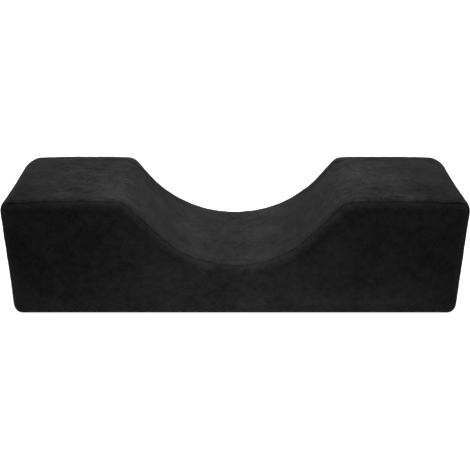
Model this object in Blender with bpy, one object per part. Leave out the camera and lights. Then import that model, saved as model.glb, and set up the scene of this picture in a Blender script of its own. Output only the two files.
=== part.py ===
"""A firm velvet pillow with a U-shaped hollow for the neck between two flat shoulders.

Metres, +Z up. The origin is the middle of the base, X runs end to end, and the front faces -Y.
It is one filled solid. Two shaped panels, the front and the back, are sewn to the strip of cloth
that runs over the top, the hollow, the ends and the base. The seams draw the cloth in along the rims.
"""

import math

import bmesh
import bpy

# Outer sizes
LENGTH = 0.500
DEPTH = 0.142
HEIGHT = 0.135

# The hollow at the front and at the back face: how far the shoulders rise towards its lips, how deep
# its floor lies below the lips, the radius of the round floor, and how steeply the walls leave it.
HOLLOW_FRONT = {"rise": 0.0, "depth": 0.0755, "radius": 0.1085, "wall_deg": 47.5}
HOLLOW_BACK = {"rise": 0.0013, "depth": 0.0717, "radius": 0.1313, "wall_deg": 52.0}

# Round corners of the profile
LIP_RADIUS = 0.0168
TOP_CORNER_RADIUS = 0.0180
BASE_CORNER_RADIUS = 0.0065
LEAST_CORNER_RADIUS = 0.004

# The rim where a panel turns into the strip, on each side of the profile: the radius of the turn,
# and where the seam lies on it, counted from the strip's side.
RIMS = {
    "top": {"radius": 0.0095, "seam_deg": 22.0, "puff": 1.0},
    "end": {"radius": 0.0215, "seam_deg": 22.0, "puff": 1.0},
    "base": {"radius": 0.0070, "seam_deg": 45.0, "puff": 0.0},
}
FACE_DEG = 90.0

# Across the seam, from the panel's side to the strip's: how far from the stitches, and how high the
# cloth stands there. The stitches lie in a groove, and the folded edges underneath lift the strip.
SEAM_ROWS = (
    {"from_seam": -0.0045, "height": 0.0005},
    {"from_seam": -0.0016, "height": -0.0002},
    {"from_seam": 0.0, "height": -0.0011},
    {"from_seam": 0.0016, "height": -0.0002},
    {"from_seam": 0.0045, "height": 0.0005},
    {"from_seam": 0.0100, "height": 0.0006},
    {"from_seam": 0.0160, "height": 0.0},
)
TURN_ROWS = 2
STRIP_ROWS = 4

# Crowns: how far the filling pushes each face out between its seams
SHOULDER_CROWN = 0.0011
PANEL_CROWN = 0.0015
END_CROWN = 0.0007

# Steps along the half profile, from the middle of the hollow to the middle of the base
STEPS = {"floor": 10, "wall": 3, "lip": 6, "shoulder": 6, "corner": 6, "end": 6}

VELVET_COLOUR = (0.012, 0.012, 0.013, 1.0)
VELVET_ROUGHNESS = 0.95
MERGE = 0.00005
SHARP_DEG = 50.0


def mix(a, b, share):
    return a + (b - a) * share


def smooth(share):
    return share * share * (3 - 2 * share)


def arc(centre_x, centre_z, radius, start_deg, end_deg, steps):
    """Points along a round stretch, its first one left out."""
    points = []
    for step in range(1, steps + 1):
        angle = math.radians(mix(start_deg, end_deg, step / steps))
        points.append((centre_x + radius * math.cos(angle), centre_z + radius * math.sin(angle)))
    return points


def line(start, end, steps):
    """Points along a straight stretch, its first one left out."""
    return [
        (mix(start[0], end[0], step / steps), mix(start[1], end[1], step / steps))
        for step in range(1, steps + 1)
    ]


def hollow_at(depth):
    """The hollow's sizes at a depth y, which pass evenly from the front's to the back's."""
    share = min(max(depth / DEPTH + 0.5, 0.0), 1.0)
    return {key: mix(HOLLOW_FRONT[key], HOLLOW_BACK[key], share) for key in HOLLOW_FRONT}


def half_profile(inset, depth):
    """The profile for x >= 0 as three chains of (x, z): top, from the middle of the hollow to the
    middle of the top corner, side, on to the middle of the base corner, and base, from there to the
    middle of the base. inset says how far each side of the profile is taken in."""
    hollow = hollow_at(depth)
    wall = math.radians(hollow["wall_deg"])
    end_x = LENGTH / 2 - inset["end"]
    top_z = HEIGHT - inset["top"]
    base_z = inset["base"]
    top_corner = TOP_CORNER_RADIUS - (inset["top"] + inset["end"]) / 2
    base_corner = BASE_CORNER_RADIUS - (inset["base"] + inset["end"]) / 2
    top_corner = max(top_corner, LEAST_CORNER_RADIUS)
    base_corner = max(base_corner, LEAST_CORNER_RADIUS)
    lip_radius = LIP_RADIUS - inset["top"]
    floor_radius = hollow["radius"] + inset["top"]
    lip_z = top_z + hollow["rise"]
    floor_z = lip_z - hollow["depth"]

    # Where the round floor passes into the straight wall, and where the wall would meet the shoulder
    floor_end = (
        floor_radius * math.sin(wall),
        floor_z + floor_radius * (1 - math.cos(wall)),
    )
    meet_x = floor_end[0] + (lip_z - floor_end[1]) / math.tan(wall)
    tangent = lip_radius * math.tan(wall / 2)
    lip_start = (meet_x - tangent * math.cos(wall), lip_z - tangent * math.sin(wall))
    shoulder_x = meet_x + tangent

    half_corner = STEPS["corner"] // 2
    top = [(0.0, floor_z)]
    top += arc(0, floor_z + floor_radius, floor_radius, -90, -90 + hollow["wall_deg"], STEPS["floor"])
    top += line(top[-1], lip_start, STEPS["wall"])
    top += arc(shoulder_x, lip_z - lip_radius, lip_radius, 90 + hollow["wall_deg"], 90, STEPS["lip"])
    shoulder_first = len(top) - 1
    top += line(top[-1], (end_x - top_corner, top_z), STEPS["shoulder"])
    top += arc(end_x - top_corner, top_z - top_corner, top_corner, 90, 45, half_corner)
    half_shoulder = (end_x - shoulder_x) / 2
    for place in range(shoulder_first, len(top)):
        x, z = top[place]
        from_middle = (x - shoulder_x - half_shoulder) / half_shoulder
        top[place] = (x, z + SHOULDER_CROWN * (1 - from_middle**2))

    side = [top[-1]]
    side += arc(end_x - top_corner, top_z - top_corner, top_corner, 45, 0, half_corner)
    side += line(side[-1], (end_x, base_z + base_corner), STEPS["end"])
    side += arc(end_x - base_corner, base_z + base_corner, base_corner, 0, -45, half_corner)

    base = [side[-1]]
    base += arc(end_x - base_corner, base_z + base_corner, base_corner, -45, -90, half_corner)
    straight_x = base[-1][0]
    outermost_x = top[-1 - half_corner][0]
    for place in reversed(range(len(top) - half_corner - 1)):
        base.append((straight_x * top[place][0] / outermost_x, base_z))
    return top, side, base


def side_shares():
    """For each point of the half profile, how much it belongs to the top, the end and the base."""
    half_corner = STEPS["corner"] // 2
    top_steps = STEPS["floor"] + STEPS["wall"] + STEPS["lip"] + STEPS["shoulder"]
    shares = [{"top": 1.0, "end": 0.0, "base": 0.0} for _ in range(top_steps)]
    for step in range(2 * half_corner):
        turned = smooth(step / (2 * half_corner))
        shares.append({"top": 1 - turned, "end": turned, "base": 0.0})
    shares += [{"top": 0.0, "end": 1.0, "base": 0.0} for _ in range(STEPS["end"])]
    for step in range(2 * half_corner):
        turned = smooth(step / (2 * half_corner))
        shares.append({"top": 0.0, "end": 1 - turned, "base": turned})
    shares += [{"top": 0.0, "end": 0.0, "base": 1.0} for _ in range(top_steps + 1)]
    return shares


def rim_inset(side, y):
    """How far a side of the profile is taken in at a depth y, where it turns into a panel."""
    radius = RIMS[side]["radius"]
    over = min(max(abs(y) - (DEPTH / 2 - radius), 0.0), radius)
    return radius - math.sqrt(radius * radius - over * over)


def rim_distance(side, angle_deg):
    """The distance from the middle plane of a place on a rim, at an angle from the strip's side.
    Below zero the angle is spent as length along the strip."""
    radius = RIMS[side]["radius"]
    angle = math.radians(angle_deg)
    return DEPTH / 2 - radius + radius * (angle if angle < 0 else math.sin(angle))


def seam_angle(side, from_seam):
    rim = RIMS[side]
    return rim["seam_deg"] - math.degrees(from_seam / rim["radius"])


def rim_rows():
    """The rows across one rim, from the panel's edge to the strip: how far each lies from the
    middle plane on each side of the profile, and how high the cloth stands there."""
    first = SEAM_ROWS[0]
    rows = []
    for turn in range(TURN_ROWS + 1):
        share = turn / (TURN_ROWS + 1)
        far = {
            side: rim_distance(side, mix(FACE_DEG, seam_angle(side, first["from_seam"]), share))
            for side in RIMS
        }
        rows.append({"far": far, "height": first["height"] * share})
    for place in SEAM_ROWS:
        far = {side: rim_distance(side, seam_angle(side, place["from_seam"])) for side in RIMS}
        rows.append({"far": far, "height": place["height"]})
    return rows


def all_rows():
    """Every row from the front panel's edge to the back panel's: its y on each side of the profile,
    and how high the cloth stands there."""
    rim = rim_rows()
    front = [{"y": {side: -far for side, far in row["far"].items()}, "height": row["height"]} for row in rim]
    back = [{"y": row["far"], "height": row["height"]} for row in reversed(rim)]
    strip = []
    for step in range(1, STRIP_ROWS + 1):
        share = step / (STRIP_ROWS + 1)
        y = {side: mix(front[-1]["y"][side], back[0]["y"][side], share) for side in RIMS}
        strip.append({"y": y, "height": 0.0})
    return front + strip + back


def end_crown(y, z):
    """How far an end stands out: most in its middle, nothing at its rims."""
    across = max(0.0, 1 - (y / (DEPTH / 2 - RIMS["end"]["radius"])) ** 2)
    up = max(0.0, 1 - (2 * z / HEIGHT - 1) ** 2)
    return END_CROWN * across * up


def panel_crown(across, up):
    """How far a panel stands out, at a share of its half length and of its height."""
    return PANEL_CROWN * (1 - across**4) * 4 * up * (1 - up)


def panel_grid(outline, face_y, outward):
    """The inner points of a panel: a net stretched between the outline's chains, pushed out by the
    crown. outline holds the chains top, side and base of the panel's edge."""
    top, side, base = outline
    columns = len(top) - 1
    levels = len(side) - 1
    base_out = base[::-1]
    side_up = side[::-1]
    grid = []
    for column in range(columns):
        across = column / columns
        points = []
        for level in range(1, levels):
            up = level / levels
            point = []
            for axis in (0, 1):
                along = mix(base_out[column][axis], top[column][axis], up)
                beside = mix(mix(base[-1][axis], top[0][axis], up), side_up[level][axis], across)
                corners = mix(
                    mix(base[-1][axis], base[0][axis], across),
                    mix(top[0][axis], top[-1][axis], across),
                    up,
                )
                point.append(along + beside - corners)
            crown = panel_crown(across, up)
            points.append((point[0], face_y + outward * crown, point[1]))
        grid.append(points)
    return grid


def fill_panel(mesh, loop, inner, levels, flipped):
    """Faces of one panel. loop holds the edge's vertices, from the middle of the hollow round the
    end to the middle of the base."""
    columns = len(inner)
    top = loop[: columns + 1]
    side = loop[columns : columns + levels + 1][::-1]
    base = loop[columns + levels :][::-1]
    net = []
    for column in range(columns):
        net.append([base[column]] + [mesh.verts.new(point) for point in inner[column]] + [top[column]])
    net.append(side)
    for column in range(columns):
        for level in range(levels):
            corners = [
                net[column][level],
                net[column + 1][level],
                net[column + 1][level + 1],
                net[column][level + 1],
            ]
            mesh.faces.new(corners[::-1] if flipped else corners)


def profile_at(y):
    """The half profile at a depth y, as its three chains."""
    return half_profile({side: rim_inset(side, y) for side in RIMS}, y)


def make_half_pillow(mesh):
    """The half with x >= 0: rows of vertices from the front to the back, joined by faces, and the
    two panels. Then the seams' grooves and ridges and the ends' crowns move each point along its
    normal, and points on the middle plane stay on it."""
    shares = side_shares()
    loops = []
    heights = []
    for row in all_rows():
        loop = []
        for place, share in enumerate(shares):
            y = sum(share[side] * row["y"][side] for side in RIMS)
            top, side, base = profile_at(y)
            x, z = (top + side[1:] + base[1:])[place]
            puff = sum(share[name] * RIMS[name]["puff"] for name in RIMS)
            height = row["height"] * (puff if row["height"] > 0 else 1.0)
            loop.append(mesh.verts.new((x, y, z)))
            heights.append(height + share["end"] * end_crown(y, z))
        loops.append(loop)
    for near, far in zip(loops, loops[1:]):
        for place in range(len(near) - 1):
            mesh.faces.new((near[place + 1], far[place + 1], far[place], near[place]))
    for loop, y, outward in ((loops[0], -DEPTH / 2, -1), (loops[-1], DEPTH / 2, 1)):
        outline = profile_at(y)
        levels = len(outline[1]) - 1
        fill_panel(mesh, loop, panel_grid(outline, y, outward), levels, flipped=outward > 0)
    mesh.normal_update()
    seamed = [vertex for loop in loops for vertex in loop]
    for vertex, height in zip(seamed, heights):
        on_middle = vertex.co.x == 0.0
        vertex.co += vertex.normal * height
        if on_middle:
            vertex.co.x = 0.0


def make_velvet():
    velvet = bpy.data.materials.new("velvet")
    velvet.use_nodes = True
    shader = velvet.node_tree.nodes["Principled BSDF"]
    shader.inputs["Base Color"].default_value = VELVET_COLOUR
    shader.inputs["Roughness"].default_value = VELVET_ROUGHNESS
    shader.inputs["Metallic"].default_value = 0.0
    return velvet


def make_pillow():
    data = bpy.data.meshes.new("pillow")
    mesh = bmesh.new()
    make_half_pillow(mesh)
    mesh.to_mesh(data)
    mesh.free()
    data.materials.append(make_velvet())
    data.shade_smooth()
    data.set_sharp_from_angle(angle=math.radians(SHARP_DEG))
    pillow = bpy.data.objects.new("pillow", data)
    bpy.context.collection.objects.link(pillow)
    mirror = pillow.modifiers.new("other half", "MIRROR")
    mirror.use_axis[0] = True
    mirror.merge_threshold = MERGE
    return pillow


for old in list(bpy.data.objects):
    bpy.data.objects.remove(old)
make_pillow()
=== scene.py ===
import math

import bpy
import numpy as np
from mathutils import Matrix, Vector, kdtree, noise


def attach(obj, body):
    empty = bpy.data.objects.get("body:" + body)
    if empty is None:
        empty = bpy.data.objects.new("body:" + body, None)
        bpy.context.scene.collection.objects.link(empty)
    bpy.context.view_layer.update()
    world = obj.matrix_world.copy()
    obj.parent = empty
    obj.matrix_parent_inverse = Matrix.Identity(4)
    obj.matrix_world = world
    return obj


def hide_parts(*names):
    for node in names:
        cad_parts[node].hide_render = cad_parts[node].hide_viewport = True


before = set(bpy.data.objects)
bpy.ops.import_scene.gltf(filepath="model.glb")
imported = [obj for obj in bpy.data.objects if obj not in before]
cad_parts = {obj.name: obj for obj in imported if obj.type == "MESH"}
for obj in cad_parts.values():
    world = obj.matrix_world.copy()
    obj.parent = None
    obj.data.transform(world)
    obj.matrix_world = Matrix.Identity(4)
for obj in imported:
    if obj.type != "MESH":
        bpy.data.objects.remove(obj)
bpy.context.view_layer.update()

# A firm velvet pillow with a U-shaped hollow for the neck. Metres, +Z up, the front faces -Y.
# The cover is made of rows that run round the profile, from the front panel to the back panel. Its
# seams are rows of their own. The filling is blown up by a cloth simulation, and the cover takes
# its softness from there.

# The pillow's sizes, as in its solid
LENGTH = 0.500
DEPTH = 0.142
HEIGHT = 0.135
HOLLOW_FRONT = {"rise": 0.0, "depth": 0.0755, "radius": 0.1085, "wall_deg": 47.5}
HOLLOW_BACK = {"rise": 0.0013, "depth": 0.0717, "radius": 0.1313, "wall_deg": 52.0}
LIP_RADIUS = 0.0168
TOP_CORNER_RADIUS = 0.0180
BASE_CORNER_RADIUS = 0.0065
LEAST_CORNER_RADIUS = 0.004
SHOULDER_CROWN = 0.0011
RIMS = {
    "top": {"radius": 0.0095, "seam_deg": 22.0, "puff": 1.0},
    "end": {"radius": 0.0215, "seam_deg": 22.0, "puff": 1.0},
    "base": {"radius": 0.0070, "seam_deg": 45.0, "puff": 0.0},
}
FACE_DEG = 90.0

# Steps of the cover along the half profile, from the middle of the hollow to the middle of the base.
# Those of the base answer to those of the top, so that a panel's columns stand upright.
SEGMENTS = (
    ("floor", 68),
    ("wall", 32),
    ("lip", 12),
    ("shoulder", 76),
    ("top_corner", 24),
    ("end", 72),
    ("base_corner", 24),
    ("base", 188),
)
# A panel's net is this much coarser than the rows round it
PANEL_COARSER = 4

# A seam lies a little off its line, and sinks towards the panel at the pillow's ends
WANDER = 0.0006
WANDER_PER_METRE = 24.0
WANDER_AT_END = 0.0030
WANDER_FROM_X = 0.150

# Rows across a rim, by their distance from the stitches, towards the strip
SEAM_ROWS_MM = (
    -4.6, -3.7, -2.9, -2.2, -1.6, -1.1, -0.7, -0.35, 0.0, 0.35, 0.7, 1.1, 1.6, 2.2, 2.9, 3.7, 4.6,
    5.7, 7.0, 8.5, 10.2, 12.2, 14.6, 17.5, 21.0,
)
TURN_ROWS = 5
STRIP_ROWS = 11


def mix(a, b, share):
    return a + (b - a) * share


def smooth(share):
    share = np.clip(share, 0.0, 1.0)
    return share * share * (3 - 2 * share)


def rim_inset(side, y):
    """How far a side of the profile is taken in at depths y, where it turns into a panel."""
    radius = RIMS[side]["radius"]
    over = np.clip(abs(y) - (DEPTH / 2 - radius), 0.0, radius)
    return radius - np.sqrt(np.maximum(radius * radius - over * over, 0.0))


def profile_points(segment, share, y):
    """x and z on one segment of the half profile, at shares of its length and depths y."""
    inset = {side: rim_inset(side, y) for side in RIMS}
    back = np.clip(y / DEPTH + 0.5, 0.0, 1.0)
    hollow = {key: mix(HOLLOW_FRONT[key], HOLLOW_BACK[key], back) for key in HOLLOW_FRONT}
    wall = np.radians(hollow["wall_deg"])
    end_x = LENGTH / 2 - inset["end"]
    top_z = HEIGHT - inset["top"]
    base_z = inset["base"]
    top_corner = np.maximum(TOP_CORNER_RADIUS - (inset["top"] + inset["end"]) / 2, LEAST_CORNER_RADIUS)
    base_corner = np.maximum(BASE_CORNER_RADIUS - (inset["base"] + inset["end"]) / 2, LEAST_CORNER_RADIUS)
    lip_z = top_z + hollow["rise"]
    lip_radius = LIP_RADIUS - inset["top"]
    floor_radius = hollow["radius"] + inset["top"]
    floor_z = lip_z - hollow["depth"]
    floor_end_x = floor_radius * np.sin(wall)
    floor_end_z = floor_z + floor_radius * (1 - np.cos(wall))
    meet_x = floor_end_x + (lip_z - floor_end_z) / np.tan(wall)
    tangent = lip_radius * np.tan(wall / 2)
    shoulder_x = meet_x + tangent
    straight_x = end_x - base_corner
    if segment == "floor":
        turn = wall * share
        x, z = floor_radius * np.sin(turn), floor_z + floor_radius * (1 - np.cos(turn))
    elif segment == "wall":
        x = mix(floor_end_x, meet_x - tangent * np.cos(wall), share)
        z = mix(floor_end_z, lip_z - tangent * np.sin(wall), share)
    elif segment == "lip":
        turn = wall * (1 - share)
        x, z = shoulder_x - lip_radius * np.sin(turn), lip_z - lip_radius * (1 - np.cos(turn))
    elif segment == "shoulder":
        x, z = mix(shoulder_x, end_x - top_corner, share), mix(lip_z, top_z, share)
    elif segment == "top_corner":
        turn = np.pi / 2 * share
        x = end_x - top_corner * (1 - np.sin(turn))
        z = top_z - top_corner * (1 - np.cos(turn))
    elif segment == "end":
        x, z = end_x + 0 * share, mix(top_z - top_corner, base_z + base_corner, share)
    elif segment == "base_corner":
        turn = np.pi / 2 * share
        x = end_x - base_corner * (1 - np.cos(turn))
        z = base_z + base_corner * (1 - np.sin(turn))
    else:
        x, z = straight_x * share / (end_x - top_corner), base_z + 0 * share
    if segment in ("shoulder", "top_corner"):
        from_middle = (2 * x - shoulder_x - end_x) / (end_x - shoulder_x)
        z = z + SHOULDER_CROWN * (1 - from_middle**2)
    return x, z


def noise_at(points, per_metre, seed):
    scaled = points * np.asarray(per_metre)
    shift = Vector((seed * 17.3, seed * 5.1, seed * 11.7))
    return np.array([noise.noise(Vector(point) + shift) for point in scaled])


class Columns:
    """The places round the half profile: the segment and share of each, and how much it belongs to
    the top, the end and the base. coarser takes only each such column."""

    def __init__(self, coarser=1):
        self.segment, self.share = [], []
        for name, steps in SEGMENTS:
            steps //= coarser
            self.segment += [name] * steps
            self.share += [step / steps for step in range(steps)]
        self.segment.append("base")
        self.share.append(1.0)
        self.segment = np.array(self.segment)
        self.share = np.array(self.share)
        self.count = len(self.share)
        turned = smooth(self.share)
        on = {name: (self.segment == name).astype(float) for name, _ in SEGMENTS}
        top = on["floor"] + on["wall"] + on["lip"] + on["shoulder"] + on["top_corner"] * (1 - turned)
        base = on["base"] + on["base_corner"] * turned
        self.side = {"top": top, "end": 1 - top - base, "base": base}
        steps = {name: steps // coarser for name, steps in SEGMENTS}
        self.top_last = steps["floor"] + steps["wall"] + steps["lip"] + steps["shoulder"]
        self.top_corner = self.top_last + steps["top_corner"] // 2
        corners = steps["top_corner"] + steps["base_corner"]
        self.base_corner = self.top_corner + steps["end"] + corners // 2

    def points(self, y):
        """The half profile's points at each column's own depth y, as rows of x, y, z."""
        x, z = np.zeros(self.count), np.zeros(self.count)
        for name, _ in SEGMENTS[:-1]:
            on = self.segment == name
            x[on], z[on] = profile_points(name, self.share[on], y[on])
        on = self.segment == "base"
        above = x[: self.top_last + 1][::-1]
        x[on], z[on] = profile_points("base", above, y[on])
        return np.column_stack([x, y, z])


def whole_loop(right, left):
    """The closed row made of two half rows, both built for +X, of which the left one is mirrored."""
    right = right.copy()
    right[[0, -1], 0] = 0.0
    return np.vstack([right, left[-2:0:-1] * (-1, 1, 1)])


def rim_distance(side, angle):
    """The distance from the middle plane of places on a rim, at angles from the strip's side.
    Below zero the angle is spent as length along the strip."""
    radius = RIMS[side]["radius"]
    return DEPTH / 2 - radius + radius * np.where(angle < 0, angle, np.sin(angle))


def rim_rows(columns, wander, seam_rows, turn_rows):
    """The rows across one rim, from the panel's edge to the strip: how far each column of it lies
    from the middle plane, and the row's distance from the stitches. wander says how far towards
    the panel the seam lies off its line, at each column."""

    def across(side, from_seam, to_face):
        angle = math.radians(RIMS[side]["seam_deg"]) + (wander - from_seam) / RIMS[side]["radius"]
        return rim_distance(side, mix(angle, math.radians(FACE_DEG), to_face))

    beyond = RIMS["top"]["radius"] * math.radians(FACE_DEG - RIMS["top"]["seam_deg"])
    places = [(seam_rows[0], 1 - turn / turn_rows) for turn in range(turn_rows)]
    places += [(from_seam, 0.0) for from_seam in seam_rows]
    rows = []
    for from_seam, to_face in places:
        far = sum(columns.side[side] * across(side, from_seam, to_face) for side in RIMS)
        rows.append((far, mix(from_seam, -beyond, to_face)))
    return rows


def cover_rows(columns, wanders, seam_rows, turn_rows, strip_rows):
    """The rows of a half from the front panel's edge to the back panel's: y at each column, and the
    distance from the nearest stitches."""
    front, back = (rim_rows(columns, wander, seam_rows, turn_rows) for wander in wanders)
    front = [(-far, from_seam) for far, from_seam in front]
    strip = []
    for step in range(1, strip_rows + 1):
        share = step / (strip_rows + 1)
        y = mix(front[-1][0], back[-1][0], share)
        strip.append((y, seam_rows[-1] + DEPTH / 2 * min(share, 1 - share)))
    return front + strip + back[::-1]


def panel_net(columns, y):
    """The points of one half of a panel, as an array of columns by levels: a net stretched between
    the top, the end and the base of the panel's edge."""
    edge = columns.points(np.full(columns.count, y))
    top = edge[: columns.top_corner + 1]
    side = edge[columns.top_corner : columns.base_corner + 1][::-1]
    base = edge[columns.base_corner :][::-1]
    across = np.linspace(0, 1, len(top))[:, None, None]
    up = np.linspace(0, 1, len(side))[None, :, None]
    middle = mix(base[0], top[0], up)
    along = mix(base[:, None, :], top[:, None, :], up)
    painted_beside_shade = mix(middle, side[None, :, :], across)
    corners = mix(middle, mix(base[-1], top[-1], up), across)
    return along + painted_beside_shade - corners


class MeshMaker:
    """Collects points and faces, and makes one mesh of them."""

    def __init__(self):
        self.points, self.faces, self.from_seam, self.on_panel, self.run = [], [], [], [], []
        self.total = 0

    def add(self, points, from_seam, on_panel, run):
        first = self.total
        self.points.append(points)
        self.from_seam.append(np.broadcast_to(from_seam, len(points)))
        self.on_panel.append(np.broadcast_to(on_panel, len(points)))
        self.run.append(np.broadcast_to(run, len(points)))
        self.total += len(points)
        return np.arange(first, self.total)

    def quads(self, near, far):
        near_next, far_next = np.roll(near, -1), np.roll(far, -1)
        self.faces += np.column_stack([near_next, far_next, far, near]).tolist()

    def mesh(self, name):
        data = bpy.data.meshes.new(name)
        data.from_pydata(np.vstack(self.points).tolist(), [], self.faces)
        for key in ("from_seam", "on_panel", "run"):
            attribute = data.attributes.new(key, "FLOAT", "POINT")
            values = np.concatenate(getattr(self, key)).astype(np.float32)
            attribute.data.foreach_set("value", values)
        data.update()
        return data


def add_panel(maker, edge, y, columns, coarser):
    """One panel inside its edge row, whose vertices are given by index. The panel's net has the
    given columns, and each edge of its outermost ring joins coarser edges of the row."""
    net = panel_net(columns, y)
    columns, levels = net.shape[0] - 1, net.shape[1] - 1
    inner = {}
    for column in range(-columns + 1, columns):
        half = net[abs(column), 1:levels] * (1 if column >= 0 else -1, 1, 1)
        kept = maker.add(half, -1.0, 1.0, 0.0)
        for level in range(1, levels):
            inner[column, level] = kept[level - 1]

    # The row's vertices round the net: from the middle of the hollow over +X to the middle of the
    # base, and back over -X
    ring = [(column, levels) for column in range(columns)]
    ring += [(columns, level) for level in range(levels, 0, -1)]
    ring += [(column, 0) for column in range(columns, -columns, -1)]
    ring += [(-columns, level) for level in range(levels)]
    ring += [(column, levels) for column in range(-columns, 0)]
    at = {place: edge[step * coarser] for step, place in enumerate(ring)}
    between = {}
    for step, place in enumerate(ring):
        after = ring[(step + 1) % len(ring)]
        between[place, after] = [edge[step * coarser + extra] for extra in range(1, coarser)]
    at.update(inner)
    for column in range(-columns, columns):
        for level in range(levels):
            corners = [(column, level), (column + 1, level), (column + 1, level + 1), (column, level + 1)]
            face = []
            for here, after in zip(corners, corners[1:] + corners[:1]):
                face.append(at[here])
                if (here, after) in between:
                    face += between[here, after]
                elif (after, here) in between:
                    face += between[after, here][::-1]
            maker.faces.append(face if y < 0 else face[::-1])


def seam_wander(x, z, seed):
    """How far towards its panel a top seam lies off its line: it sinks at the outer ends."""
    places = np.column_stack([x * WANDER_PER_METRE, z * WANDER_PER_METRE, 0 * x])
    loose = WANDER * noise_at(places, 1.0, seed)
    sunk = WANDER_AT_END * smooth((abs(x) - WANDER_FROM_X) / (LENGTH / 2 - WANDER_FROM_X))
    return loose + sunk * smooth(z / HEIGHT)


def cover_mesh(name, coarser, seam_rows, turn_rows, strip_rows, panel_coarser):
    """The whole closed cover, without its seams' grooves."""
    columns = Columns(coarser)
    maker = MeshMaker()
    halves = []
    for side in (1, -1):
        middle = columns.points(np.zeros(columns.count))
        wanders = [seam_wander(side * middle[:, 0], middle[:, 2], seed) for seed in (1, 2)]
        halves.append(cover_rows(columns, wanders, seam_rows, turn_rows, strip_rows))
    edges = []
    for (right_y, from_seam), (left_y, _) in zip(*halves):
        points = whole_loop(columns.points(right_y), columns.points(left_y))
        steps = np.linalg.norm(np.diff(points, axis=0), axis=1)
        run = np.concatenate([[0.0], np.cumsum(steps)])
        edges.append(maker.add(points, from_seam, float(from_seam < 0), run))
    for near, far in zip(edges, edges[1:]):
        maker.quads(near, far)
    net_columns = Columns(coarser * panel_coarser)
    add_panel(maker, edges[0], -DEPTH / 2, net_columns, panel_coarser)
    add_panel(maker, edges[-1], DEPTH / 2, net_columns, panel_coarser)
    return maker.mesh(name)


def coordinates(data):
    flat = np.zeros(len(data.vertices) * 3, np.float32)
    data.vertices.foreach_get("co", flat)
    return flat.reshape(-1, 3).astype(float)


def normals(data):
    flat = np.zeros(len(data.vertices) * 3, np.float32)
    data.vertex_normals.foreach_get("vector", flat)
    return flat.reshape(-1, 3).astype(float)


def values(data, key):
    flat = np.zeros(len(data.vertices), np.float32)
    data.attributes[key].data.foreach_get("value", flat)
    return flat.astype(float)


# The filling: a plain copy of the form, blown up against seams that hold
SOFT_SEAM_ROWS_MM = (-4.6, 0.0, 4.6)
SOFT_COARSER = 4
SOFT_TURN_ROWS = 2
SOFT_STRIP_ROWS = 6
FILLING_TAKEN_IN = 0.0012
VOXEL = 0.005
PRESSURE = 4.0
LAST_FRAME = 20
HELD_WITHIN = 0.005
FARTHEST_MOVE = 0.0028
SPREAD = 0.006
SPREAD_FROM = 10
SEAM_POINTS_STEP = 3


def filling_object():
    rows = [row / 1000 for row in SOFT_SEAM_ROWS_MM]
    data = cover_mesh("filling", SOFT_COARSER, rows, SOFT_TURN_ROWS, SOFT_STRIP_ROWS, 1)
    data.vertices.foreach_set("co", (coordinates(data) - FILLING_TAKEN_IN * normals(data)).ravel())
    filling = bpy.data.objects.new("filling", data)
    bpy.context.scene.collection.objects.link(filling)
    remesh = filling.modifiers.new("remesh", "REMESH")
    remesh.mode = "VOXEL"
    remesh.voxel_size = VOXEL
    graph = bpy.context.evaluated_depsgraph_get()
    remeshed = bpy.data.meshes.new_from_object(filling.evaluated_get(graph))
    filling.modifiers.clear()
    filling.data = remeshed
    return filling


def nearest_tree(points):
    tree = kdtree.KDTree(len(points))
    for place, point in enumerate(points):
        tree.insert(point, place)
    tree.balance()
    return tree


def blown_filling(seam_points):
    """(points of the filling at rest, how far each of them moves when it is blown up)."""
    filling = filling_object()
    rest = coordinates(filling.data)
    seams = nearest_tree(seam_points)
    held = filling.vertex_groups.new(name="held")
    for place, point in enumerate(rest):
        if seams.find(point)[2] < HELD_WITHIN or point[2] < 2 * FILLING_TAKEN_IN:
            held.add([place], 1.0, "REPLACE")
    cloth = filling.modifiers.new("cloth", "CLOTH")
    cloth.settings.use_pressure = True
    cloth.settings.uniform_pressure_force = PRESSURE
    cloth.settings.effector_weights.gravity = 0.0
    cloth.settings.vertex_group_mass = "held"
    cloth.point_cache.frame_end = LAST_FRAME
    scene = bpy.context.scene
    for step in range(1, LAST_FRAME + 1):
        scene.frame_set(step)
    graph = bpy.context.evaluated_depsgraph_get()
    blown = coordinates(filling.evaluated_get(graph).data)
    scene.frame_set(1)
    bpy.data.objects.remove(filling)
    moved = blown - rest
    far = np.linalg.norm(moved, axis=1)[:, None]
    return rest, moved * FARTHEST_MOVE / np.maximum(far, FARTHEST_MOVE)


def spread_moves(points, rest, moved):
    """The filling's moves carried over to other points, as a mean of the nearest ones."""
    tree = nearest_tree(rest)
    out = np.zeros_like(points)
    for place, point in enumerate(points):
        found = tree.find_n(point, SPREAD_FROM)
        weight = np.array([math.exp(-((distance / SPREAD) ** 2)) for _, _, distance in found])
        out[place] = weight @ moved[[index for _, index, _ in found]] / weight.sum()
    return out


# The seams: the stitches lie in a groove. The panel's edge is rolled over. The folded edges lie under
# the strip, where the shoulders show them as a low welt, and the strip falls from it to the groove.
GROOVE_DEPTH = 0.0009
GROOVE_WIDTH = 0.0012
ROLL_HEIGHT = 0.0002
ROLL_MIDDLE = -0.0032
ROLL_WIDTH = 0.0020
WELT_HEIGHT = 0.0011
WELT_FROM, WELT_FULL, WELT_FALLS, WELT_TO = 0.0010, 0.0075, 0.0100, 0.0190
WELT_X = (0.085, 0.108, 0.150, 0.200)
WELT_ELSEWHERE = 0.25
PUCKER_HEIGHT = 0.00045
PUCKER_WIDTH = 0.0060
PUCKERS_PER_METRE = 170.0
BACK_PUCKERS_OFF = 9.0
GROOVE_VARIES = 0.4
SLOW_PER_METRE = 22.0
SLOW_SHARE = 0.6
UNEVEN = ((0.00045, 14.0), (0.00018, 45.0))
STROKES_HEIGHT = 0.00012
STROKES_PER_METRE = (16.0, 90.0, 40.0)
BASE_FADE = 0.012
AT_STITCHES = 1e-6


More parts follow.
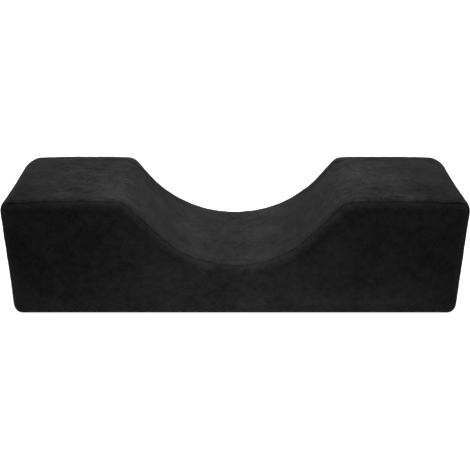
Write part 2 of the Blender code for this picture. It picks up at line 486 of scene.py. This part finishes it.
def welt_share(points, from_seam):
    """How far the folded edges lift the strip, from 0 to 1."""
    rise = smooth((from_seam - WELT_FROM) / (WELT_FULL - WELT_FROM))
    fall = 1 - smooth((from_seam - WELT_FALLS) / (WELT_TO - WELT_FALLS))
    far = abs(points[:, 0])
    inner, full, falls, outer = WELT_X
    along = smooth((far - inner) / (full - inner)) * (1 - smooth((far - falls) / (outer - falls)))
    return rise * fall * mix(WELT_ELSEWHERE, 1.0, along * (points[:, 2] > HEIGHT / 2))


def seam_height(from_seam, run, points):
    """How high the cloth stands, by its distance from the stitches and its place along them."""
    across = from_seam / GROOVE_WIDTH
    groove = -GROOVE_DEPTH * np.exp(-across * across)
    roll = ROLL_HEIGHT * np.exp(-(((from_seam - ROLL_MIDDLE) / ROLL_WIDTH) ** 2))
    slow = 1 + SLOW_SHARE * noise_at(points, SLOW_PER_METRE, 3)
    along = np.column_stack([run * PUCKERS_PER_METRE, np.sign(points[:, 1]) * BACK_PUCKERS_OFF, 0 * run])
    pucker = noise_at(along, 1.0, 5)
    near = np.exp(-np.abs(from_seam) / PUCKER_WIDTH)
    welt = WELT_HEIGHT * welt_share(points, from_seam)
    return groove * (1 + GROOVE_VARIES * pucker) + (roll + welt) * slow + PUCKER_HEIGHT * pucker * near


def make_cover():
    rows = [row / 1000 for row in SEAM_ROWS_MM]
    data = cover_mesh("velvet_cover", 1, rows, TURN_ROWS, STRIP_ROWS, PANEL_COARSER)
    points = coordinates(data)
    outward = normals(data)
    from_seam = values(data, "from_seam")
    run = values(data, "run")
    stitches = np.abs(from_seam) < AT_STITCHES
    lift = seam_height(from_seam, run, points)
    for height, per_metre in UNEVEN:
        lift = lift + height * noise_at(points, per_metre, per_metre)
    on_top = np.clip(outward[:, 2], 0, 1) ** 2
    lift = lift + STROKES_HEIGHT * on_top * noise_at(points, STROKES_PER_METRE, 8)
    above = smooth(points[:, 2] / BASE_FADE)
    resting = np.clip(-outward[:, 2], 0, 1)
    lift = np.where(lift > 0, lift * above, lift * (1 - smooth(resting)))
    moved = outward * lift[:, None]
    rest, blown = blown_filling(points[stitches][::SEAM_POINTS_STEP])
    moved += spread_moves(points, rest, blown) * above[:, None]
    points = points + moved
    points[:, 2] = np.maximum(points[:, 2], 0.0)
    data.vertices.foreach_set("co", points.ravel())
    data.update()
    data.shade_smooth()
    cover = bpy.data.objects.new("velvet_cover", data)
    bpy.context.scene.collection.objects.link(cover)
    return cover


class Nodes:
    """Short ways to add shader nodes."""

    def __init__(self, material):
        material.use_nodes = True
        self.tree = material.node_tree
        self.tree.nodes.clear()

    def new(self, kind, **settings):
        node = self.tree.nodes.new(kind)
        for key, value in settings.items():
            setattr(node, key, value)
        return node

    def link(self, output, socket):
        self.tree.links.new(output, socket)

    def feed(self, socket, value):
        if isinstance(value, bpy.types.NodeSocket):
            self.link(value, socket)
        else:
            socket.default_value = value

    def math(self, operation, first, second=0.0, clamp=False):
        node = self.new("ShaderNodeMath", operation=operation, use_clamp=clamp)
        self.feed(node.inputs[0], first)
        self.feed(node.inputs[1], second)
        return node.outputs[0]

    def ranged(self, value, low, high, to_low, to_high, kind="SMOOTHSTEP"):
        node = self.new("ShaderNodeMapRange", interpolation_type=kind)
        for place, given in enumerate((value, low, high, to_low, to_high)):
            self.feed(node.inputs[place], given)
        return node.outputs[0]

    def noise(self, place, scale, detail=2.0, roughness=0.5, stretch=(1, 1, 1), shift=(0, 0, 0)):
        mapping = self.new("ShaderNodeMapping")
        self.link(place, mapping.inputs["Vector"])
        mapping.inputs["Scale"].default_value = stretch
        mapping.inputs["Location"].default_value = shift
        made = self.new("ShaderNodeTexNoise")
        self.link(mapping.outputs[0], made.inputs["Vector"])
        made.inputs["Scale"].default_value = scale
        made.inputs["Detail"].default_value = detail
        made.inputs["Roughness"].default_value = roughness
        return made.outputs["Fac"]


# The velvet's looks. Lengths in metres, noise scales per metre.
VELVET_BASE = 0.0136
CLOUD_SCALE = 16.0
CLOUD_STRETCH = (1.0, 1.25, 1.2)
CLOUD_AMOUNT = 1.6
CLUMP_SCALE = 125.0
CLUMP_AMOUNT = 2.15
CLUMP_ON_SHOULDERS = 4.2
STROKE_STRETCH = (38.0, 190.0, 120.0)
STROKE_AMOUNT = 0.9
SHOULDERS_FROM_Z, SHOULDERS_TO_Z = 0.095, 0.125
# The seam's darkening: pressed pile together with painted shade of its groove, most on the shoulders, and
# a band of painted shade beside it there
SEAM_DARK_ON_SHOULDERS = 0.34
SEAM_DARK_ELSEWHERE = 0.55
SEAM_DARK_MIDDLE = -0.0010
SEAM_DARK_HALF = 0.0030
BESIDE_SEAM_SHADE = 0.84
BESIDE_SEAM_TO = 0.0100
STITCH_PITCH = 0.0027
STITCH_DARK = 0.25
STITCH_HALF = 0.0009
# Painted shade: the front of the shoulders' outer ends is darkened, as less light falls there
END_SHADE_FROM_X, END_SHADE_TO_X = 0.172, 0.208
END_SHADE_TO_Y, END_SHADE_END_Y = 0.015, 0.060
END_SHADE_TONE = 0.68
# Painted shade: the hollow's walls are darkened, as they slope away from the overhead light
WALL_FROM_X, WALL_FULL_X, WALL_FALLS_X, WALL_TO_X = 0.045, 0.070, 0.095, 0.130
WALL_PAINTED_SHADE = 0.86
PILE_SCALE = 1500.0
PILE_SHARE = 0.2
BUMP_STRENGTH = 0.4
BUMP_DISTANCE = 0.0008
ROUGHEST, SMOOTHEST = 0.98, 0.86
SPECULAR_LEVEL = 0.12
SHEEN_WEIGHT = 0.028
SHEEN_ROUGHNESS = 0.45


def velvet_material():
    velvet = bpy.data.materials.new("black_velvet")
    n = Nodes(velvet)
    place = n.new("ShaderNodeTexCoord").outputs["Object"]
    from_seam = n.new("ShaderNodeAttribute", attribute_name="from_seam").outputs["Fac"]
    run = n.new("ShaderNodeAttribute", attribute_name="run").outputs["Fac"]
    on_panel = n.new("ShaderNodeAttribute", attribute_name="on_panel").outputs["Fac"]
    split = n.new("ShaderNodeSeparateXYZ")
    n.link(place, split.inputs[0])
    far_x = n.math("ABSOLUTE", split.outputs["X"])
    on_strip = n.math("SUBTRACT", 1.0, on_panel)
    on_shoulders = n.ranged(split.outputs["Z"], SHOULDERS_FROM_Z, SHOULDERS_TO_Z, 0.0, 1.0)
    strip_shoulders = n.math("MULTIPLY", on_shoulders, on_strip)
    # Painted shade at the front of the shoulders' outer ends
    outside = n.ranged(far_x, END_SHADE_FROM_X, END_SHADE_TO_X, 0.0, 1.0)
    in_front = n.ranged(split.outputs["Y"], END_SHADE_TO_Y, END_SHADE_END_Y, 1.0, 0.0)
    painted_end_shade = n.math("MULTIPLY", n.math("MULTIPLY", outside, in_front), strip_shoulders)
    # Painted shade on the hollow's walls
    painted_wall_shade = n.ranged(far_x, WALL_FROM_X, WALL_FULL_X, 0.0, 1.0)
    painted_wall_shade = n.math("MULTIPLY", painted_wall_shade, n.ranged(far_x, WALL_FALLS_X, WALL_TO_X, 1.0, 0.0))
    painted_wall_shade = n.math("MULTIPLY", painted_wall_shade, on_strip)

    # The nap: clouds and small clumps where it was brushed, and on the shoulders strokes along X. Painted
    # shade: darker at the front of the shoulders' outer ends and on the hollow's walls, where less light
    # falls
    clouds = n.noise(place, CLOUD_SCALE, 3.0, 0.7, stretch=CLOUD_STRETCH)
    clumps = n.noise(place, CLUMP_SCALE, 3.0, 0.9, stretch=CLOUD_STRETCH, shift=(3, 1, 2))
    strokes = n.noise(place, 1.0, 3.0, 0.6, stretch=STROKE_STRETCH)
    tone = n.math("MULTIPLY", n.math("SUBTRACT", clouds, 0.5), CLOUD_AMOUNT)
    clump_amount = n.ranged(strip_shoulders, 0.0, 1.0, CLUMP_AMOUNT, CLUMP_ON_SHOULDERS, "LINEAR")
    clumped = n.math("MULTIPLY", n.math("SUBTRACT", clumps, 0.5), clump_amount)
    tone = n.math("ADD", n.math("ADD", tone, clumped), 1.0)
    stroked = n.math("MULTIPLY", n.math("SUBTRACT", strokes, 0.5), STROKE_AMOUNT)
    tone = n.math("ADD", tone, n.math("MULTIPLY", stroked, strip_shoulders))
    tone = n.math("MULTIPLY", tone, n.ranged(painted_end_shade, 0.0, 1.0, 1.0, END_SHADE_TONE, "LINEAR"))
    tone = n.math("MULTIPLY", tone, n.ranged(painted_wall_shade, 0.0, 1.0, 1.0, WALL_PAINTED_SHADE, "LINEAR"))

    # The pile is pressed into the seam and darker there, most at each stitch. Part of this darkening is
    # painted shade of the seam's groove. It is strongest on the shoulders, where a band of painted shade
    # also lies beside the seam
    apart = n.math("ABSOLUTE", from_seam)
    to_dark_middle = n.math("ABSOLUTE", n.math("SUBTRACT", from_seam, SEAM_DARK_MIDDLE))
    darkest = n.ranged(on_shoulders, 0.0, 1.0, SEAM_DARK_ELSEWHERE, SEAM_DARK_ON_SHOULDERS, "LINEAR")
    in_seam = n.ranged(to_dark_middle, 0.0002, SEAM_DARK_HALF, darkest, 1.0)
    # Painted shade in a band beside the seam on the shoulders
    painted_beside_shade = n.ranged(apart, 0.0020, BESIDE_SEAM_TO, BESIDE_SEAM_SHADE, 1.0)
    in_seam = n.math("MULTIPLY", in_seam, n.ranged(on_shoulders, 0.0, 1.0, 1.0, painted_beside_shade, "LINEAR"))
    wave = n.math("SINE", n.math("MULTIPLY", run, 2 * math.pi / STITCH_PITCH))
    stitch = n.ranged(wave, -0.2, 0.9, 0.0, STITCH_DARK)
    at_stitch = n.math("MULTIPLY", stitch, n.ranged(apart, 0.0001, STITCH_HALF, 1.0, 0.0))
    tone = n.math("MULTIPLY", tone, n.math("SUBTRACT", in_seam, at_stitch))
    level = n.math("MULTIPLY", tone, VELVET_BASE)
    colour = n.new("ShaderNodeCombineColor")
    for socket in colour.inputs:
        n.link(level, socket)

    # The pile itself, as a fine bump
    pile = n.noise(place, PILE_SCALE, 2.0, 0.6)
    height = n.math("ADD", n.math("MULTIPLY", pile, PILE_SHARE), n.math("SUBTRACT", clumps, at_stitch))
    bump = n.new("ShaderNodeBump")
    bump.inputs["Strength"].default_value = BUMP_STRENGTH
    bump.inputs["Distance"].default_value = BUMP_DISTANCE
    n.link(height, bump.inputs["Height"])

    shader = n.new("ShaderNodeBsdfPrincipled")
    n.link(colour.outputs[0], shader.inputs["Base Color"])
    n.link(bump.outputs[0], shader.inputs["Normal"])
    n.link(n.ranged(clouds, 0.3, 0.7, ROUGHEST, SMOOTHEST), shader.inputs["Roughness"])
    shader.inputs["Specular IOR Level"].default_value = SPECULAR_LEVEL
    shader.inputs["Sheen Weight"].default_value = SHEEN_WEIGHT
    shader.inputs["Sheen Roughness"].default_value = SHEEN_ROUGHNESS
    shader.inputs["Sheen Tint"].default_value = (1.0, 1.0, 1.0, 1.0)
    output = n.new("ShaderNodeOutputMaterial")
    n.link(shader.outputs[0], output.inputs["Surface"])
    return velvet


# The camera, from the photograph of 470 by 470 pixels
PHOTO_SIDE = 470
FOCAL_PIXELS = 780.1
SENSOR_MM = 36.0
CAMERA_PLACE = (0.0, -0.808, 0.465)
CAMERA_DOWN_DEG = 26.4
NEAREST_SEEN = 0.01


def make_camera():
    lens = bpy.data.cameras.new("camera")
    lens.sensor_width = SENSOR_MM
    lens.lens = FOCAL_PIXELS * SENSOR_MM / PHOTO_SIDE
    lens.clip_start = NEAREST_SEEN
    camera = bpy.data.objects.new("camera", lens)
    camera.location = CAMERA_PLACE
    camera.rotation_euler = (math.radians(90 - CAMERA_DOWN_DEG), 0, 0)
    bpy.context.scene.collection.objects.link(camera)
    bpy.context.scene.camera = camera


def area_light(name, place, towards, size, watts, spread_deg=180):
    light = bpy.data.lights.new(name, "AREA")
    light.shape = "RECTANGLE"
    light.size, light.size_y = size
    light.energy = watts
    light.spread = math.radians(spread_deg)
    lamp = bpy.data.objects.new(name, light)
    lamp.location = place
    lamp.rotation_euler = (Vector(towards) - Vector(place)).to_track_quat("-Z", "Y").to_euler()
    lamp.visible_camera = False
    bpy.context.scene.collection.objects.link(lamp)


FLOOR_REACH = 30.0
FLOOR_Z = -0.0004
FLOOR_GLOW = 0.92
FLOOR_GREY = 0.5
AIR_LIGHT = 0.165
# An overhead lamp with a narrow one for the hollow, weak ones for the front and the ends, and lamps
# at the floor for the light that white paper throws back
LAMPS = {
    "overhead": {"place": (0, 0.25, 1.3), "towards": (0, 0, 0.08), "size": (1.1, 0.8), "watts": 17.2},
    "hollow": {
        "place": (0, 0.1, 1.3),
        "towards": (0, 0, 0.06),
        "size": (0.2, 0.4),
        "watts": 0.42,
        "spread_deg": 30,
    },
    "front": {"place": (0, -1.6, 0.75), "towards": (0, 0, 0.07), "size": (1.6, 0.8), "watts": 4.2},
    "left_end": {"place": (-0.55, 0, 0.08), "towards": (0, 0, 0.07), "size": (0.3, 0.12), "watts": 0.18},
    "right_end": {"place": (0.55, 0, 0.08), "towards": (0, 0, 0.07), "size": (0.3, 0.12), "watts": 0.18},
    "floor_wide": {
        "place": (0, -0.16, 0.001),
        "towards": (0, -0.16, 1),
        "size": (0.5, 0.18),
        "watts": 0.09,
    },
    "floor_near": {
        "place": (0, -0.082, 0.001),
        "towards": (0, -0.082, 1),
        "size": (0.46, 0.036),
        "watts": 0.018,
    },
    "front_middle": {
        "place": (0, -0.22, 0.03),
        "towards": (0, 0, 0.03),
        "size": (0.1, 0.04),
        "watts": 0.09,
    },
}


def make_stage():
    """A white floor, white air round it, and the lamps."""
    scene = bpy.context.scene
    data = bpy.data.meshes.new("floor")
    turns = ((-1, -1), (1, -1), (1, 1), (-1, 1))
    corners = [(x * FLOOR_REACH, y * FLOOR_REACH, FLOOR_Z) for x, y in turns]
    data.from_pydata(corners, [], [(0, 1, 2, 3)])
    floor = bpy.data.objects.new("floor", data)
    scene.collection.objects.link(floor)
    paper = bpy.data.materials.new("white_floor")
    n = Nodes(paper)
    glow = n.new("ShaderNodeEmission")
    glow.inputs["Strength"].default_value = FLOOR_GLOW
    matt = n.new("ShaderNodeBsdfDiffuse")
    matt.inputs["Color"].default_value = (FLOOR_GREY, FLOOR_GREY, FLOOR_GREY, 1.0)
    both = n.new("ShaderNodeAddShader")
    n.link(glow.outputs[0], both.inputs[0])
    n.link(matt.outputs[0], both.inputs[1])
    output = n.new("ShaderNodeOutputMaterial")
    n.link(both.outputs[0], output.inputs["Surface"])
    floor.data.materials.append(paper)
    floor.visible_diffuse = False
    floor.visible_glossy = False

    world = bpy.data.worlds.new("air")
    scene.world = world
    n = Nodes(world)
    path = n.new("ShaderNodeLightPath")
    strength = n.ranged(path.outputs["Is Camera Ray"], 0.0, 1.0, AIR_LIGHT, 1.0, "LINEAR")
    air = n.new("ShaderNodeBackground")
    air.inputs["Color"].default_value = (1.0, 1.0, 1.0, 1.0)
    n.link(strength, air.inputs["Strength"])
    output = n.new("ShaderNodeOutputWorld")
    n.link(air.outputs[0], output.inputs["Surface"])

    for name, settings in LAMPS.items():
        area_light(name, **settings)
    scene.view_settings.view_transform = "Standard"
    scene.view_settings.look = "None"


make_camera()
make_stage()
cover = make_cover()
cover.data.materials.append(velvet_material())
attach(cover, "root")
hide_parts("pillow")
